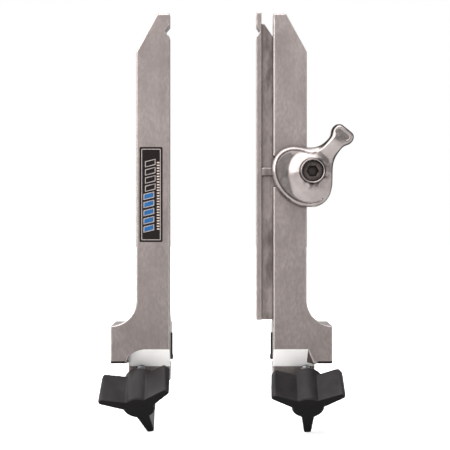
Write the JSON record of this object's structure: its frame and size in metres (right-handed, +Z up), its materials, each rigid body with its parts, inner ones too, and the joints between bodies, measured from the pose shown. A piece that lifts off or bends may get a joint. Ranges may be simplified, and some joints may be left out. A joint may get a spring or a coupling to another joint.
{
  "type": "board holder arm pair",
  "caption": "Pair of tall cast clamp arms for a bench board vise, one plain and one with a sprung jaw drawn back by a cam lever, each clamped on a square rail by a knob.",
  "frame": {"origin": "on the centre line of the square cross rail that both feet clamp, midway between the inner edges of the two arms", "axes": "+X along the rail to the arm with the lever, +Y away from the user, +Z up the arms"},
  "size_m": [0.1514, 0.0567, 0.2535],
  "materials": {
    "cast_metal": "tumbled casting, satin",
    "polished_metal": "polished casting",
    "steel": "turned",
    "black_steel": "black oxide",
    "black_shoe": "black coated sheet",
    "black_plastic": "moulded, semi-matte"
  },
  "bodies": {
    "arms": {"left_arm": "cast_metal", "right_arm": "cast_metal", "lever_screw": "black_steel", "lever_sleeve": "steel", "lever_washer": "steel", "upper_jaw_spring": "steel", "lower_jaw_spring": "steel"},
    "jaw": {"moving_jaw": "cast_metal", "follower_pin": "steel", "upper_guide_pin": "steel", "lower_guide_pin": "steel"},
    "lever": {"cam_lever": "polished_metal"},
    "left_shoe": {"left_clamp_shoe": "black_shoe"},
    "left_screw": {"left_clamp_screw": "steel", "left_knob": "black_plastic"},
    "right_shoe": {"right_clamp_shoe": "black_shoe"},
    "right_screw": {"right_clamp_screw": "steel", "right_knob": "black_plastic"}
  },
  "joints": [
    {"name": "lever_turn", "type": "hinge", "parent": "arms", "child": "lever", "pos_m": [0.0539, -0.024, 0.1061], "axis": [0, -1, 0], "range_deg": [0, 60]},
    {"name": "jaw_slide", "type": "slide", "parent": "arms", "child": "jaw", "axis": [1, 0, 0], "range_m": [0, 0.00501], "deforming": ["upper_jaw_spring", "lower_jaw_spring"]},
    {"name": "left_shoe_slide", "type": "slide", "parent": "arms", "child": "left_shoe", "axis": [0, -0.7071, -0.7071], "range_m": [0, 0.00255]},
    {"name": "left_knob_turn", "type": "hinge", "parent": "left_shoe", "child": "left_screw", "pos_m": [-0.0489, -0.015, -0.0175], "axis": [0, -0.7071, -0.7071], "range_deg": [0, 720]},
    {"name": "right_shoe_slide", "type": "slide", "parent": "arms", "child": "right_shoe", "axis": [0, -0.7071, -0.7071], "range_m": [0, 0.00255]},
    {"name": "right_knob_turn", "type": "hinge", "parent": "right_shoe", "child": "right_screw", "pos_m": [0.0514, -0.015, -0.0175], "axis": [0, -0.7071, -0.7071], "range_deg": [0, 720]}
  ],
  "couplings": [
    {"joint": "jaw_slide", "follows": "lever_turn", "m_per_rad": 0.0047746},
    {"joint": "left_shoe_slide", "follows": "left_knob_turn", "m_per_rad": 0.00020213},
    {"joint": "right_shoe_slide", "follows": "right_knob_turn", "m_per_rad": 0.00020213}
  ]
}
